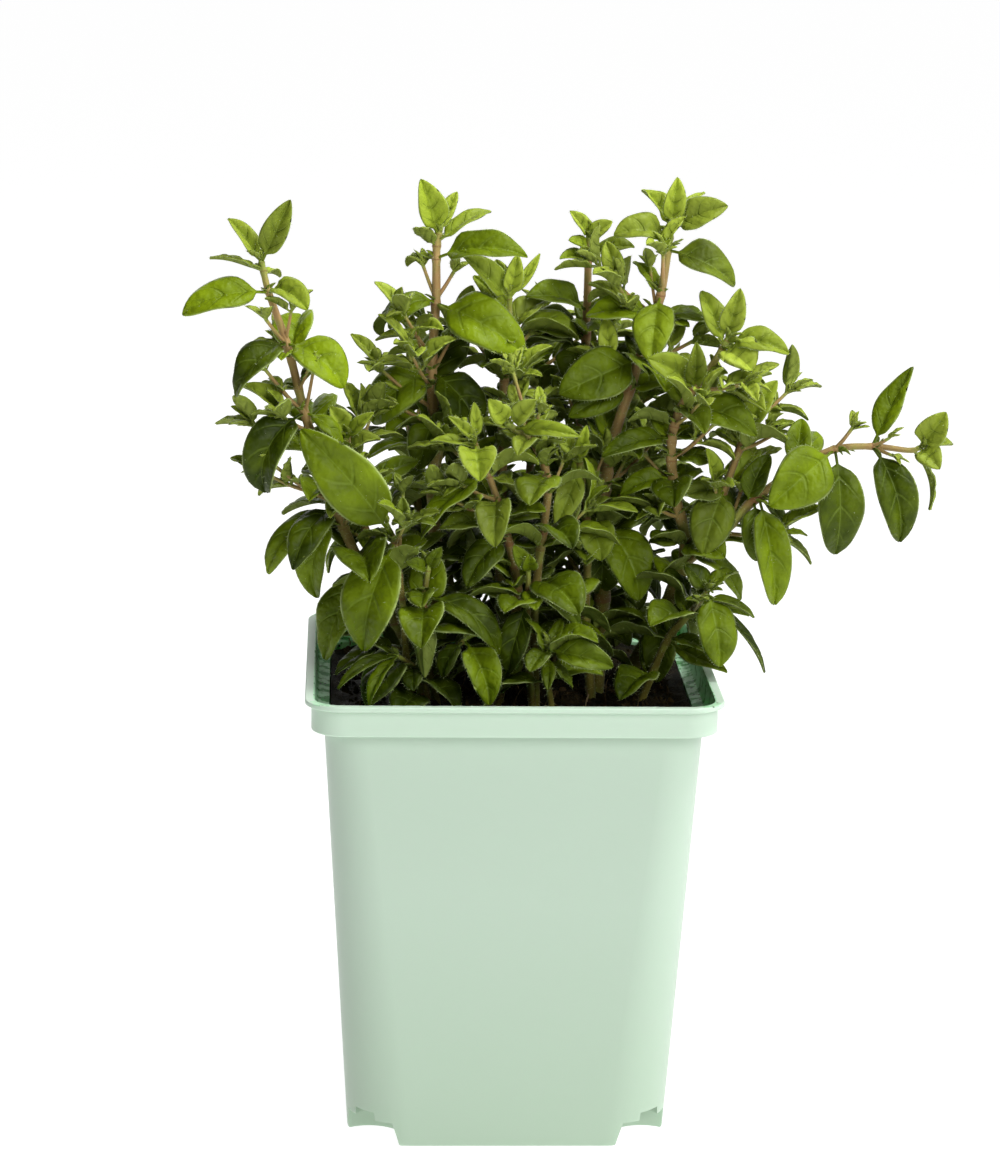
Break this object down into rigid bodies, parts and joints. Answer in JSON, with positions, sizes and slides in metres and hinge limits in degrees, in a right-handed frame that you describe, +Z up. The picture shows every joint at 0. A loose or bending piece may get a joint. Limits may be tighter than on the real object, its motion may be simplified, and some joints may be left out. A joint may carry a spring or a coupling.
{
  "type": "potted oregano plant",
  "caption": "Potted oregano plant: square tapered plastic pot with a rolled band rim, filled with compost, and separate leafy stems with opposite oval leaves standing in it.",
  "frame": {"origin": "middle of the underside of the pot, on the surface that it stands on", "axes": "+Z up, -Y towards the front face of the pot, +X to the right seen from the front"},
  "size_m": [0.2089, 0.1227, 0.2616],
  "materials": {
    "pot_plastic": "pale mint, satin",
    "compost": "dark, damp, crumbly",
    "foliage": "soft green leaves on tan stems"
  },
  "bodies": {
    "root": {"pot": "pot_plastic", "compost": "compost", "stem_left_spray": "foliage", "stem_left_inner": "foliage", "stem_left_arch": "foliage", "stem_front_left": "foliage", "stem_front_low": "foliage", "stem_low_left": "foliage", "stem_tall_left": "foliage", "stem_mid_left": "foliage", "stem_mid_front": "foliage", "stem_mid_back": "foliage", "stem_front_small": "foliage", "stem_front_low_right": "foliage", "stem_back_centre": "foliage", "stem_centre_right": "foliage", "stem_tall_right": "foliage", "stem_right": "foliage", "stem_right_low": "foliage", "stem_back_left": "foliage", "stem_back_mid": "foliage", "stem_back_right": "foliage", "stem_rear_left": "foliage", "stem_rear_right": "foliage", "stem_rear_mid": "foliage"}
  },
  "joints": []
}
